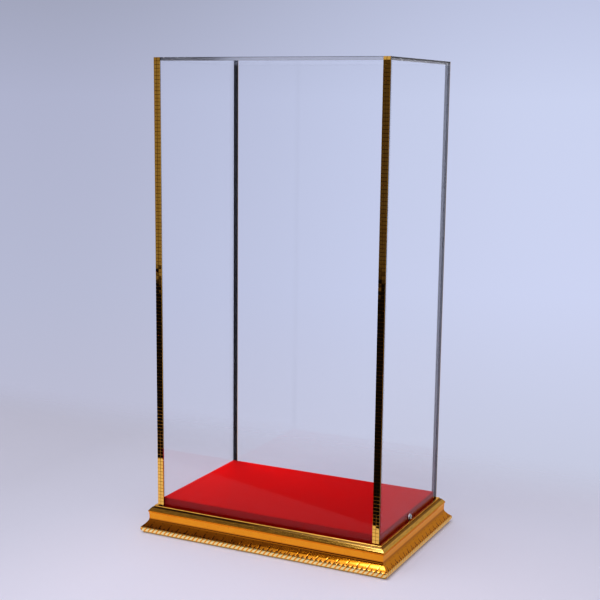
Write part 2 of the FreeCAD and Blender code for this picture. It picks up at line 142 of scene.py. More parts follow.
def acrylic_material():
    """Clear cast acrylic. The glued joints between the sheets bend no light, and the top sheet's edges are
    rough and carry painted shade."""
    material, s = new_material("clear_acrylic")
    place = object_place(s)
    axes = s.axes(place)
    from_middle_x = s.math("ABSOLUTE", axes[0])
    from_middle_y = s.math("ABSOLUTE", axes[1])
    low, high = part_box("cover_panel_top")
    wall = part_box("cover_panel_left")[1].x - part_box("cover_panel_left")[0].x
    over_side = s.math("GREATER_THAN", from_middle_x, high.x - wall)
    over_front = s.math("GREATER_THAN", from_middle_y, high.y - wall - PAST_FACE)
    wall_joint = s.math("MULTIPLY", over_side, s.math("COMPARE", from_middle_y, high.y - wall, ON_FACE))
    top_joint = s.math("MULTIPLY", s.math("MAXIMUM", over_side, over_front),
                       s.math("COMPARE", axes[2], low.z, ON_FACE))
    joint = s.math("MAXIMUM", wall_joint, top_joint)

    in_top = s.math("GREATER_THAN", axes[2], low.z + PAST_FACE)
    side_edge = s.math("GREATER_THAN", from_middle_x, high.x - ON_FACE)
    front_edge = s.math("GREATER_THAN", from_middle_y, high.y - ON_FACE)
    edge = s.math("MULTIPLY", in_top, s.math("MAXIMUM", side_edge, front_edge))
    smear = s.ramp(s.noise(place, 9.0, 5.0, 0.6), (0.45, grey(0.0)), (0.9, grey(0.03)))
    smear = s.math("MAXIMUM", smear, s.math("MULTIPLY", edge, EDGE_ROUGHNESS))
    ripple = s.bump(s.noise(place, 5.0, 2.0), 0.04 * MM, 0.25)
    through = s.add("ShaderNodeBsdfRefraction", {
        "Color": (0.993, 0.996, 1.0, 1.0), "IOR": ACRYLIC_IOR, "Roughness": smear,
        "Normal": ripple}).outputs[0]
    back = s.add("ShaderNodeBsdfAnisotropic", {
        "Color": grey(1.0), "Roughness": smear, "Normal": ripple}).outputs[0]
    fresnel = s.add("ShaderNodeFresnel", {"IOR": ACRYLIC_IOR, "Normal": ripple}).outputs[0]
    gloss = s.math("MULTIPLY_ADD", s.math("MULTIPLY", fresnel, fresnel), 1.0 - ACRYLIC_GLOSS, ACRYLIC_GLOSS)
    share = s.math("MULTIPLY", fresnel, gloss)
    glass = s.add("ShaderNodeMixShader", {0: share, 1: through, 2: back}).outputs[0]

    # Painted shade for the edges: a dark opaque finish, streaked with saw marks, in place of the glass.
    saw_marks = s.noise(s.stretched(place, (2500.0, 2500.0, 60.0)), 1.0)
    polished = s.add("ShaderNodeBsdfPrincipled", {
        "Base Color": s.mix(saw_marks, (0.02, 0.021, 0.026, 1.0), (0.07, 0.07, 0.085, 1.0)),
        "Roughness": 0.2}).outputs[0]
    # Painted shade: the side edges are painted dark in their upper half, and the front and rear ones towards
    # the left corner.
    upper_half = s.remap(axes[2], high.z - 2.6 * MM, high.z - 1.4 * MM, 0.1, 0.96)
    left_end = s.remap(axes[0], low.x + 55 * MM, low.x, 0.14, 0.62)
    painted_edge_shade = s.math("MULTIPLY", edge, s.mix(s.math("MULTIPLY", in_top, side_edge), left_end, upper_half))
    glass = s.add("ShaderNodeMixShader", {0: painted_edge_shade, 1: glass, 2: polished}).outputs[0]

    path = s.add("ShaderNodeLightPath").outputs
    lighting = s.math("MAXIMUM", path["Is Shadow Ray"], path["Is Diffuse Ray"])
    clear = s.add("ShaderNodeBsdfTransparent", {"Color": (0.93, 0.935, 0.95, 1.0)}).outputs[0]
    lit = s.add("ShaderNodeMixShader", {0: lighting, 1: glass, 2: clear}).outputs[0]
    open_joint = s.add("ShaderNodeBsdfTransparent", {"Color": grey(0.93)}).outputs[0]
    finish_with(s, s.add("ShaderNodeMixShader", {0: joint, 1: lit, 2: open_joint}).outputs[0])
    return material


# Heights on the moulding at which its gilding changes, and where painted shade lies: along the foot, on the
# flare's top under the cove, and in the groove under the lip.
FOOT_SHADE = (1.0 * MM, 2.0 * MM)
ROPE_TOP = (7.2 * MM, 8.0 * MM)
FLARE_SHADE = (13.5 * MM, 16.5 * MM)
COVE_FOOT = 18.3 * MM
BEVEL_FOOT = 28.2 * MM
GROOVE = 32.2 * MM
GROOVE_HALF = 0.8 * MM


def gilt_material():
    """Burnished gold leaf with brown flecks: pale on the rope bead, deep above it, with painted shade on the
    flare's top under the cove, in the groove under the lip, along the foot, and in the carver's cuts, the
    mesh's cut attribute."""
    material, s = new_material("gilt")
    place = object_place(s)
    height = s.axes(place)[2]
    rope = s.remap(height, *ROPE_TOP, 1.0, 0.0)
    cloudy = s.noise(place, 70.0, 4.0, 0.6)
    deep = s.mix(cloudy, (0.84, 0.28, 0.010, 1.0), (1.0, 0.38, 0.025, 1.0))
    pale = s.mix(cloudy, (1.0, 0.76, 0.34, 1.0), (1.0, 0.84, 0.46, 1.0))
    gold = s.mix(rope, deep, pale)
    gold = s.mix(s.math("GREATER_THAN", height, BEVEL_FOOT), gold, (0.97, 0.53, 0.12, 1.0))
    # Painted shade: the flare darkens towards its top, under the cove's overhang.
    with_painted_shade = s.mix(s.remap(height, *FLARE_SHADE, 0.0, 0.5), gold, (0.30, 0.10, 0.010, 1.0))
    with_painted_shade = s.mix(s.math("GREATER_THAN", height, COVE_FOOT), with_painted_shade, gold)
    # Painted shade in and beside the groove between the bevel and the lip.
    with_painted_shade = s.mix(s.math("COMPARE", height, GROOVE, GROOVE_HALF), with_painted_shade, (0.32, 0.17, 0.04, 1.0))
    # Painted shadow along the foot, where the moulding stands on the floor.
    with_painted_shade = s.mix(s.remap(height, *FOOT_SHADE, 0.8, 0.0), with_painted_shade, (0.22, 0.13, 0.03, 1.0))
    # Painted shade in the carved cuts: the pale rope turns deep orange in its valleys, and the flare's cuts,
    # dots and ticks turn near black.
    cut = s.add("ShaderNodeAttribute", attribute_name="cut").outputs["Fac"]
    cut_shade_colour = s.mix(rope, (0.10, 0.03, 0.003, 1.0), (0.95, 0.36, 0.03, 1.0))
    with_painted_shade = s.mix(s.ramp(cut, (0.2, grey(0.0)), (0.7, grey(1.0))), with_painted_shade, cut_shade_colour)
    flecks = s.ramp(s.noise(place, 420.0, 2.0), (0.66, grey(0.0)), (0.76, grey(0.4)))
    colour = s.mix(flecks, with_painted_shade, (0.30, 0.11, 0.015, 1.0))
    brushed = s.noise(s.stretched(place, (0.12, 0.12, 1.0)), 900.0, 3.0)
    streak = s.math("MULTIPLY", s.math("GREATER_THAN", height, BEVEL_FOOT + 0.2 * MM),
                    s.ramp(brushed, (0.45, grey(0.0)), (0.62, grey(0.4))))
    colour = s.mix(streak, colour, (0.40, 0.22, 0.05, 1.0))
    gilt = s.add("ShaderNodeBsdfPrincipled", {
        "Base Color": colour, "Metallic": 1.0, "Roughness": s.math("MULTIPLY_ADD", cloudy, 0.09, 0.06),
        "Normal": s.bump(brushed, 0.02 * MM, 0.06), "Specular Tint": (1.0, 0.7, 0.35, 1.0),
        "Coat Weight": 0.6, "Coat Roughness": 0.05}).outputs[0]
    finish_with(s, gilt)
    return material


def mirror_material():
    """Gold mirror glass, a little uneven from tile to tile."""
    material, s = new_material("gold_mirror")
    place = object_place(s)
    patch = s.noise(place, 170.0, 2.0)
    colour = s.mix(patch, (0.90, 0.48, 0.10, 1.0), (1.0, 0.62, 0.19, 1.0))
    speck = s.ramp(s.noise(place, 900.0, 2.0), (0.7, grey(0.03)), (0.78, grey(0.25)))
    relief = s.bump(s.noise(place, 240.0, 1.0), 0.02 * MM, 0.3)
    finish_with(s, s.add("ShaderNodeBsdfPrincipled", {
        "Base Color": colour, "Metallic": 1.0, "Roughness": speck, "Normal": relief}).outputs[0])
    return material


def grout_material():
    """The bronze-coloured mesh between the tiles."""
    material, s = new_material("mosaic_backing")
    place = object_place(s)
    colour = s.mix(s.noise(place, 700.0, 3.0), (0.10, 0.055, 0.015, 1.0), (0.20, 0.12, 0.03, 1.0))
    finish_with(s, s.add("ShaderNodeBsdfPrincipled", {
        "Base Color": colour, "Metallic": 0.9, "Roughness": 0.28,
        "Normal": s.bump(s.noise(place, 900.0), 0.1 * MM, 0.6)}).outputs[0])
    return material


def foam_material(name, dark, pale):
    """Closed-cell foam tape."""
    material, s = new_material(name)
    place = object_place(s)
    cells = s.add("ShaderNodeTexVoronoi", {"Vector": place, "Scale": 1600.0}).outputs[0]
    colour = s.mix(cells, dark, pale)
    finish_with(s, s.add("ShaderNodeBsdfPrincipled", {
        "Base Color": colour, "Roughness": 0.75, "Normal": s.bump(cells, 0.12 * MM, 0.7)}).outputs[0])
    return material


def flannel_material():
    """Red flannel: a brushed nap over a fine twill."""
    material, s = new_material("red_flannel")
    place = object_place(s)
    nap = s.noise(place, 260.0, 6.0, 0.7)
    blotch = s.noise(place, 22.0, 3.0)
    fibre = s.noise(s.stretched(place, (2400.0, 500.0, 900.0)), 1.0, 4.0)
    red = s.mix(nap, (0.26, 0.001, 0.001, 1.0), (0.44, 0.002, 0.002, 1.0))
    red = s.mix(s.ramp(blotch, (0.35, grey(0.0)), (0.75, grey(0.3))), red, (0.29, 0.001, 0.001, 1.0))
    twill = s.add("ShaderNodeTexWave", {"Vector": place, "Scale": 260.0, "Distortion": 2.0, "Detail": 2.0},
                  bands_direction="DIAGONAL").outputs[1]
    height = s.math("ADD", s.math("MULTIPLY", nap, 0.6), s.math("ADD", s.math("MULTIPLY", fibre, 0.3),
                                                                 s.math("MULTIPLY", twill, 0.1)))
    finish_with(s, s.add("ShaderNodeBsdfPrincipled", {
        "Base Color": red, "Roughness": 0.95, "Sheen Weight": 0.05, "Sheen Roughness": 0.5,
        "Sheen Tint": (1.0, 0.03, 0.03, 1.0), "Specular IOR Level": 0.01,
        "Normal": s.bump(height, 0.35 * MM, 0.7)}).outputs[0])
    return material


def wood_material(name, pale, dark, stretch, scale):
    """Sawn wood with its grain along the axis that is stretched least."""
    material, s = new_material(name)
    place = s.stretched(object_place(s), stretch)
    rings = s.add("ShaderNodeTexWave", {"Vector": place, "Scale": scale, "Distortion": 7.0, "Detail": 4.0,
                                        "Detail Scale": 1.4}).outputs[1]
    pores = s.noise(place, scale * 9.0, 5.0, 0.7)
    grain = s.math("MULTIPLY_ADD", rings, 0.65, s.math("MULTIPLY", pores, 0.35))
    finish_with(s, s.add("ShaderNodeBsdfPrincipled", {
        "Base Color": s.mix(grain, pale, dark), "Roughness": 0.7,
        "Normal": s.bump(grain, 0.2 * MM, 0.4)}).outputs[0])
    return material


def metal_material(name, pale, dark, low_roughness):
    """Plated steel with a slightly cloudy finish."""
    material, s = new_material(name)
    place = object_place(s)
    cloud = s.noise(place, 500.0, 4.0, 0.6)
    finish_with(s, s.add("ShaderNodeBsdfPrincipled", {
        "Base Color": s.mix(cloud, dark, pale), "Metallic": 1.0,
        "Roughness": s.math("MULTIPLY_ADD", cloud, 0.2, low_roughness),
        "Normal": s.bump(s.noise(place, 1500.0), 0.02 * MM, 0.4)}).outputs[0])
    return material


def nylon_material():
    """Milky nylon, for the washers."""
    material, s = new_material("clear_nylon")
    place = object_place(s)
    finish_with(s, s.add("ShaderNodeBsdfPrincipled", {
        "Base Color": s.mix(s.noise(place, 400.0), (0.80, 0.81, 0.78, 1.0), (0.9, 0.9, 0.88, 1.0)),
        "Roughness": 0.35, "Subsurface Weight": 0.3, "Subsurface Radius": (MM, MM, MM)}).outputs[0])
    return material


ACRYLIC = acrylic_material()
GILT = gilt_material()
MIRROR = mirror_material()
GROUT = grout_material()
FOAM = foam_material("black_foam", (0.006, 0.006, 0.007, 1.0), (0.03, 0.028, 0.027, 1.0))
# Painted light: the rear right tape is the same black foam as the others, given a lighter grey-blue copy
# where it catches more light.
PAINTED_LIT_FOAM = foam_material("black_foam_painted_lit", (0.16, 0.17, 0.22, 1.0), (0.32, 0.34, 0.41, 1.0))
FLANNEL = flannel_material()
PINE = {"pale": (0.66, 0.47, 0.26, 1.0), "dark": (0.42, 0.24, 0.10, 1.0), "scale": 26.0}
PINE_ALONG_X = wood_material("pine_along_x", stretch=(0.6, 9.0, 9.0), **PINE)
PINE_ALONG_Y = wood_material("pine_along_y", stretch=(9.0, 0.6, 9.0), **PINE)
PLYWOOD = wood_material("plywood", (0.60, 0.43, 0.25, 1.0), (0.44, 0.28, 0.14, 1.0), (0.8, 5.0, 30.0), 16.0)
FIBREBOARD = wood_material("fibreboard", (0.36, 0.25, 0.14, 1.0), (0.24, 0.155, 0.08, 1.0),
                           (1.0, 1.0, 1.0), 180.0)
BRIGHT_ZINC = metal_material("bright_zinc", (0.66, 0.69, 0.76, 1.0), (0.34, 0.36, 0.42, 1.0), 0.14)
YELLOW_ZINC = metal_material("yellow_zinc", (0.80, 0.68, 0.40, 1.0), (0.55, 0.44, 0.24, 1.0), 0.22)
BLUED_STEEL = metal_material("nail_steel", (0.45, 0.46, 0.48, 1.0), (0.25, 0.25, 0.27, 1.0), 0.3)
NYLON = nylon_material()

CAD_MATERIALS = {
    "cover_panel": ACRYLIC, "trim_tape": FOAM, "trim_tape_rear_right": PAINTED_LIT_FOAM, "platform_deck": FIBREBOARD,
    "platform_rail_front": PINE_ALONG_X, "platform_rail_rear": PINE_ALONG_X,
    "platform_rail_left": PINE_ALONG_Y, "platform_rail_right": PINE_ALONG_Y,
    "floor_board": PLYWOOD, "floor_board_screws": YELLOW_ZINC, "deck_screws": YELLOW_ZINC,
    "frame_screws": YELLOW_ZINC, "mitre_nails": BLUED_STEEL, "screw_washer": NYLON,
}
for name, thing in NODES.items():
    matches = [start for start in CAD_MATERIALS if name.startswith(start)]
    if matches:
        thing.data.materials.clear()
        thing.data.materials.append(CAD_MATERIALS[max(matches, key=len)])


# ---------------------------------------------------------------- mesh helpers

def new_piece(name, body, nodes, materials):
    """An empty mesh object that rides on a body and stands for CAD nodes."""
    piece = bpy.data.objects.new(name, bpy.data.meshes.new(name))
    bpy.context.scene.collection.objects.link(piece)
    for material in materials:
        piece.data.materials.append(material)
    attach(piece, body)
    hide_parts(*nodes)
    return piece


def fill(piece, mesh, smooth=True):
    """Give the piece a bmesh's faces, turned outward."""
    bmesh.ops.recalc_face_normals(mesh, faces=mesh.faces)
    for face in mesh.faces:
        face.smooth = smooth
    mesh.to_mesh(piece.data)
    mesh.free()


def mark_sharp(piece, degrees):
    """Edges that turn by more than this stay crisp."""
    mesh = bmesh.new()
    mesh.from_mesh(piece.data)
    limit = math.radians(degrees)
    for edge in mesh.edges:
        if edge.is_manifold and edge.calc_face_angle() > limit:
            edge.smooth = False
    mesh.to_mesh(piece.data)
    mesh.free()


def smoothstep(low, high, at):
    share = min(1.0, max(0.0, (at - low) / (high - low)))
    return share * share * (3 - 2 * share)


# ---------------------------------------------------------------- gilt mouldings

COVER_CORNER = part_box("cover_panel_top")[1]
# The mouldings' back, outward from the cover's face: a negative distance, as the cover stands in a rebate.
MOULDING_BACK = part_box("cover_panel_front")[0].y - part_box("frame_moulding_front")[1].y
SAMPLE = 0.58 * MM        # spacing of the carving's stations along a length
STRAND_PITCH = 5.84 * MM  # the rope bead's strands
STRAND_DEPTH = 0.6 * MM
STRAND_SLANT = 0.8
FLARE_FOOT = 8 * MM       # the flare over the rope bead, with a row of petals
PETAL_PITCH = 12.8 * MM
PETAL_DEPTH = 0.07 * MM
PETAL_SLANT = 0.35
PETAL_CURL = 1.3 * MM     # how far a cut bends aside over its whole height
CUT_WIDTH = 0.95 * MM
DOT_WIDTH = 1.1 * MM      # the punched dot over each cut
DOT_DEPTH = 0.06 * MM
CRISP_ANGLE = 38


def arc(centre, radius, start, end, count):
    """Points on an arc, from one angle to another in degrees."""
    for step in range(count + 1):
        angle = math.radians(start + (end - start) * step / count)
        yield centre[0] + radius * math.cos(angle), centre[1] + radius * math.sin(angle)


def bend(start, pull, end, count):
    """Points on a quadratic curve between two ends."""
    for step in range(count + 1):
        t = step / count
        yield tuple((1 - t) ** 2 * a + 2 * t * (1 - t) * b + t * t * c for a, b, c in zip(start, pull, end))


def moulding_outline():
    """Points round the moulding's section, in mm out from the cover's face and up from the ground, each
    with the kind of carving there and its share of the way up that part."""
    outline = []

    def take(points, kind="plain"):
        points = list(points)
        for index, (outward, up) in enumerate(points):
            outline.append((outward, up, kind, index / max(1, len(points) - 1)))

    back = MOULDING_BACK / MM
    take([(back, 0.0), (14.2, 0.0), (14.2, 0.9)])                                 # underside and foot
    take(arc((12.0, 5.5), 5.0, -58, 24, 16), "strand")                            # rope bead
    take([(16.1, 7.9)])
    take(bend((15.8, 8.2), (12.2, 11.1), (9.6, 14.7), 18), "petal")               # flare
    take(bend((9.5, 14.9), (8.65, 16.4), (8.6, 18.2), 8))                         # cove
    take(bend((8.6, 18.4), (8.5, 22.2), (9.05, 25.7), 10))
    take(arc((8.4, 27.0), 1.35, -50, 45, 6))                                      # nose
    take([(9.2, 28.3), (8.9, 28.7), (6.9, 31.1), (6.8, 31.25), (5.5, 32.3)])      # bevel
    take([(5.1, 31.9), (4.5, 31.8), (4.0, 32.3)])                                 # groove
    take([(3.95, 33.8), (3.5, 34.25), (1.8, 34.45), (0.6, 34.3), (0.45, 33.6)])   # lip
    take([(0.45, 30.0), (back, 30.0)])                                            # rebate
    return outline


def carving(kind, share, along, up):
    """How far the carver has cut below the plain section, in metres, and how much painted shade the cut gets,
    0 to 1.
    """
    strand = (along - STRAND_SLANT * up) / STRAND_PITCH
    if kind == "strand":
        crown = abs(math.sin(math.pi * strand))
        depth = STRAND_DEPTH * (1 - crown) ** 1.25 * (0.3 + 0.7 * smoothstep(0.0, 0.2, share))
        return depth, 1 - smoothstep(0.3, 0.85, crown)
    if kind == "petal":
        petal = (along - PETAL_SLANT * (up - FLARE_FOOT) - PETAL_CURL * share * share) / PETAL_PITCH
        side = abs(petal - round(petal)) * PETAL_PITCH
        line = max(0.0, 1 - side / CUT_WIDTH) ** 0.8 * (1 - smoothstep(0.45, 0.78, share))
        dot = max(0.0, 1 - math.hypot(side / DOT_WIDTH, (share - 0.9) / 0.1))
        tick = (0.5 + 0.5 * math.cos(2 * math.pi * strand)) ** 3 * (1 - smoothstep(0.0, 0.4, share))
        depth = (PETAL_DEPTH * line + DOT_DEPTH * dot) * smoothstep(0.0, 0.1, share)
        return depth, max(line, dot, tick)
    return 0.0, 0.0


def section_normals(outline):
    """Which way (outward, up) the plain section faces at each of its points."""
    normals = []
    for before, after in zip(outline[-1:] + outline[:-1], outline[1:] + outline[:1]):
        run, rise = after[0] - before[0], after[1] - before[1]
        length = math.hypot(run, rise)
        normals.append((rise / length, -run / length))
    return normals


def mitred_length(outline, half, place):
    """A bmesh of one length of moulding. place turns (along, outward, up) into a point, and half is half
    the cover's side, where the mitres start."""
    reach = half + max(point[0] for point in outline) * MM + SAMPLE
    count = int(2 * reach / SAMPLE)
    stations = [-reach + 2 * reach * index / count for index in range(count + 1)]
    size = len(outline)
    normals = section_normals(outline)
    mesh = bmesh.new()
    painted_cut_shade = mesh.verts.layers.float.new("cut")
    rings = []
    for along in stations:
        ring = []
        for (outward, up, kind, share), (normal_out, normal_up) in zip(outline, normals):
            depth, dark = carving(kind, share, along, up * MM)
            point = place(along, outward * MM - normal_out * depth, up * MM - normal_up * depth)
            vertex = mesh.verts.new(point)
            vertex[painted_cut_shade] = dark
            ring.append(vertex)
        rings.append(ring)
    for first, second in zip(rings, rings[1:]):
        for index in range(size):
            after = (index + 1) % size
            mesh.faces.new((first[index], first[after], second[after], second[index]))
    for end in (1, -1):
        corner = place(end * half, 0.0, 0.0)
        mitre = place(end * (half + MM), MM, 0.0) - corner
        facing = mitre.cross(Vector((0, 0, 1)))
        if facing.dot(place(end * 2 * half, 0.0, 0.0) - corner) < 0:
            facing.negate()
        bmesh.ops.bisect_plane(mesh, geom=mesh.verts[:] + mesh.edges[:] + mesh.faces[:], dist=1e-7,
                               plane_co=corner, plane_no=facing, clear_outer=True)
        open_end = [edge for edge in mesh.edges if edge.is_boundary
                    and all(abs((v.co - corner).dot(facing.normalized())) < 1e-6 for v in edge.verts)]
        bmesh.ops.triangle_fill(mesh, edges=open_end, use_beauty=True)
    return mesh


def build_mouldings():
    """The same carved section runs along all four sides."""
    outline = moulding_outline()
    half_x, half_y = COVER_CORNER.x, COVER_CORNER.y
    sides = {
        "front": (half_x, lambda along, out, up: Vector((along, -half_y - out, up))),
        "rear": (half_x, lambda along, out, up: Vector((-along, half_y + out, up))),
        "left": (half_y, lambda along, out, up: Vector((-half_x - out, -along, up))),
        "right": (half_y, lambda along, out, up: Vector((half_x + out, along, up))),
    }
    for side, (half, place) in sides.items():
        piece = new_piece(f"gilt_moulding_{side}", "base", [f"frame_moulding_{side}"], [GILT])
        fill(piece, mitred_length(outline, half, place))
        mark_sharp(piece, CRISP_ANGLE)


build_mouldings()


# ---------------------------------------------------------------- mirror mosaic trims

TILE = 4.0 * MM
TILE_GAP = 0.33 * MM
TILE_BEVEL = 0.13 * MM
TILE_FALL = 0.015 * MM     # how far a tile's bevel falls away
BACKING = 0.3 * MM
TILT = 0.2                 # degrees, how unevenly the tiles are stuck down
SPIN = 0.3                 # degrees, how far they turn in their own plane
LOOSE_TILT = 2.6           # times the tilt of the rest, for a few tiles
LOOSE_SHARE = 0.15
TOP_LEAN = 8               # degrees, how far the front right trim's top row faces upwards


def add_tile(mesh, turn, outward, depth):
    """A mirror tile with ground edges, on the backing, turned a little by the matrix."""
    half = TILE / 2
    levels = ((0.0, half), (depth - TILE_FALL, half), (depth, half - TILE_BEVEL))
    rings = []
    for height, reach in levels:
        corners = ((-reach, -reach), (reach, -reach), (reach, reach), (-reach, reach))
        rings.append([mesh.verts.new(turn @ Vector((x, outward * height, z))) for x, z in corners])
    for lower, upper in zip(rings, rings[1:]):
        for index in range(4):
            after = (index + 1) % 4
            mesh.faces.new((lower[index], lower[after], upper[after], upper[index]))
    mesh.faces.new(rings[0])
    mesh.faces.new(rings[2])


def build_trims():
    """Each trim is one sheet of backing with rows of tiles on it, from the bottom up."""
    dice = random.Random(14)
    pitch = TILE + TILE_GAP
    for name in ("front_left", "front_right", "rear_left", "rear_right"):
        low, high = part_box(f"trim_mosaic_{name}")
        outward = -1 if low.y < 0 else 1
        back = high.y if outward < 0 else low.y
        columns = round((high.x - low.x + TILE_GAP) / pitch)
        rows = round((high.z - low.z + TILE_GAP) / pitch)
        mesh = bmesh.new()
        sheet = bmesh.ops.create_cube(mesh, size=1.0)["verts"]
        for vertex in sheet:
            vertex.co = Vector((
                low.x + (vertex.co.x + 0.5) * (high.x - low.x),
                back + outward * (0.5 + vertex.co.y) * BACKING,
                low.z + (vertex.co.z + 0.5) * (high.z - low.z)))
        for face in mesh.faces:
            face.material_index = 1
        for row in range(rows):
            for column in range(columns):
                loose = 1.0 if dice.random() < 1 - LOOSE_SHARE else LOOSE_TILT
                tilt_x = math.radians(dice.gauss(0, TILT) * loose)
                tilt_z = math.radians(dice.gauss(0, TILT) * loose)
                spin = math.radians(dice.gauss(0, SPIN))
                if row == rows - 1 and name == "front_right":
                    tilt_x -= math.radians(TOP_LEAN)
                centre = Vector((low.x + TILE / 2 + column * pitch, back + outward * BACKING,
                                 low.z + TILE / 2 + row * pitch))
                turn = (Matrix.Translation(centre) @ Matrix.Rotation(tilt_x, 4, "X")
                        @ Matrix.Rotation(tilt_z, 4, "Z") @ Matrix.Rotation(spin, 4, "Y"))
                add_tile(mesh, turn, outward, abs(high.y - low.y) - BACKING)
        piece = new_piece(f"mirror_mosaic_{name}", "cover", [f"trim_mosaic_{name}"],
                          [MIRROR, GROUT])
        fill(piece, mesh, smooth=False)


build_trims()


# ---------------------------------------------------------------- flannel over the platform

FLANNEL_ROUND = 1.5 * MM   # how tightly the cloth turns over the platform's edge
FLANNEL_THICK = 0.8 * MM
FLANNEL_WAVE = 0.14 * MM
TOP_GRID = 5 * MM
TURN_STEPS = 5
DROP_STEPS = 8


def spaced(half):
    """Grid lines across a length, close together where the cloth turns over the edge."""
    flat = half - FLANNEL_ROUND
    count = round(2 * flat / TOP_GRID)
    lines = [-flat + 2 * flat * index / count for index in range(count + 1)]
    turn = [flat + FLANNEL_ROUND * step / TURN_STEPS for step in range(1, TURN_STEPS + 1)]
    return [-line for line in reversed(turn)] + lines + turn


def build_flannel():
    """One sheet over the platform's top and down its four sides, with rounded edges and a slight wave."""
    low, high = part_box("platform_flannel")
    across = spaced(high.x)
    deep = spaced(high.y)
    turn = [high.z - FLANNEL_ROUND * step / TURN_STEPS for step in range(TURN_STEPS + 1)]
    drop = [turn[-1] + (low.z - turn[-1]) * step / DROP_STEPS for step in range(1, DROP_STEPS + 1)]
    levels = turn + drop
    mesh = bmesh.new()

    def grid(first, second, place):
        rows = [[mesh.verts.new(place(a, b)) for b in second] for a in first]
        for upper, lower in zip(rows, rows[1:]):
            for index in range(len(second) - 1):
                mesh.faces.new((upper[index], upper[index + 1], lower[index + 1], lower[index]))

    grid(across, deep, lambda x, y: (x, y, high.z))
    for side in (-1, 1):
        grid(across, levels, lambda x, z: (x, side * high.y, z))
        grid(deep, levels, lambda y, z: (side * high.x, y, z))
    bmesh.ops.remove_doubles(mesh, verts=mesh.verts[:], dist=1e-6)
    for vertex in mesh.verts:
        point = vertex.co.copy()
        core = Vector((
            min(max(point.x, -high.x + FLANNEL_ROUND), high.x - FLANNEL_ROUND),
            min(max(point.y, -high.y + FLANNEL_ROUND), high.y - FLANNEL_ROUND),
            min(point.z, high.z - FLANNEL_ROUND)))
        outward = (point - core).normalized()
        wave = noise.noise(point * 38.0) + 0.4 * noise.noise(point * 120.0)
        vertex.co = core + outward * (FLANNEL_ROUND - FLANNEL_WAVE * (0.7 + 0.5 * wave))
    piece = new_piece("red_flannel_sheet", "base", ["platform_flannel"], [FLANNEL])
    fill(piece, mesh)
    thick = piece.modifiers.new("cloth", "SOLIDIFY")
    thick.thickness = FLANNEL_THICK - FLANNEL_WAVE
    thick.offset = -1.0


build_flannel()


# ---------------------------------------------------------------- side screws

THREAD_PITCH = 1.6 * MM
THREAD_DEPTH = 0.5 * MM
HEAD_RADIUS = 3.2 * MM
HEAD_RIM = 0.7 * MM
SHANK_RADIUS = 1.9 * MM
SHANK_PLAIN = 1.0 * MM
POINT_LENGTH = 3.2 * MM
RECESS_WIDTH = 0.95 * MM
RECESS_REACH = 1.85 * MM
RECESS_DEPTH = 1.5 * MM
HEAD_SEGMENTS = 48
SHANK_SEGMENTS = 28
STEPS_PER_TURN = 14        # along the thread


def lathe(mesh, stations, segments, radius_at):
    """A closed turned solid; radius_at(depth, angle) gives its radius at a depth along the axis."""
    rings = []
    for depth in stations:
        ring = []
        for step in range(segments):
            angle = 2 * math.pi * step / segments
            radius = radius_at(depth, angle)
            ring.append(mesh.verts.new((depth, radius * math.cos(angle), radius * math.sin(angle))))
        rings.append(ring)
    for first, second in zip(rings, rings[1:]):
        for index in range(segments):
            after = (index + 1) % segments
            mesh.faces.new((first[index], first[after], second[after], second[index]))
    mesh.faces.new(rings[0])
    mesh.faces.new(rings[-1])


def screw_mesh(length, height):
    """The screw along +X: its head's crown at -height, its bearing face at 0, its tip at length."""
    mesh = bmesh.new()

    def head_radius(depth, angle):
        if depth > -HEAD_RIM:
            return HEAD_RADIUS
        share = (-depth - HEAD_RIM) / (height - HEAD_RIM)
        return max(0.15 * MM, HEAD_RADIUS * math.sqrt(max(0.0, 1 - share * share)))

    crown = [-height + (height - HEAD_RIM) * (1 - math.cos(math.radians(angle))) for angle in range(4, 91, 6)]
    lathe(mesh, crown + [-HEAD_RIM * 0.5, -0.1 * MM, 0.0], HEAD_SEGMENTS, head_radius)

    def shank_radius(depth, angle):
        turn = depth / THREAD_PITCH - angle / (2 * math.pi)
        ridge = abs((turn % 1.0) - 0.5) * 2
        fade = smoothstep(SHANK_PLAIN, SHANK_PLAIN + 1.5 * MM, depth)
        body = SHANK_RADIUS - THREAD_DEPTH * fade * (1 - max(0.0, 1 - ridge * 1.6))
        return max(0.08 * MM, body * (1 - smoothstep(length - POINT_LENGTH, length + 0.6 * MM, depth)))

    steps = int(length / (THREAD_PITCH / STEPS_PER_TURN))
    lathe(mesh, [length * step / steps for step in range(steps + 1)], SHANK_SEGMENTS, shank_radius)
    return mesh


def cross_cutter(height):
    """Two tapered bars crossing in the head's crown."""
    mesh = bmesh.new()
    for along in (0, 1):
        verts = bmesh.ops.create_cube(mesh, size=1.0)["verts"]
        for vertex in verts:
            deep = vertex.co.x > 0
            reach = RECESS_REACH * (0.55 if deep else 1.0)
            width = RECESS_WIDTH / 2 * (0.7 if deep else 1.0)
            first = math.copysign(reach, vertex.co.y)
            second = math.copysign(width, vertex.co.z)
            depth = -height + RECESS_DEPTH if deep else -height - 0.5 * MM
            vertex.co = (depth, second, first) if along else (depth, first, second)
    return mesh


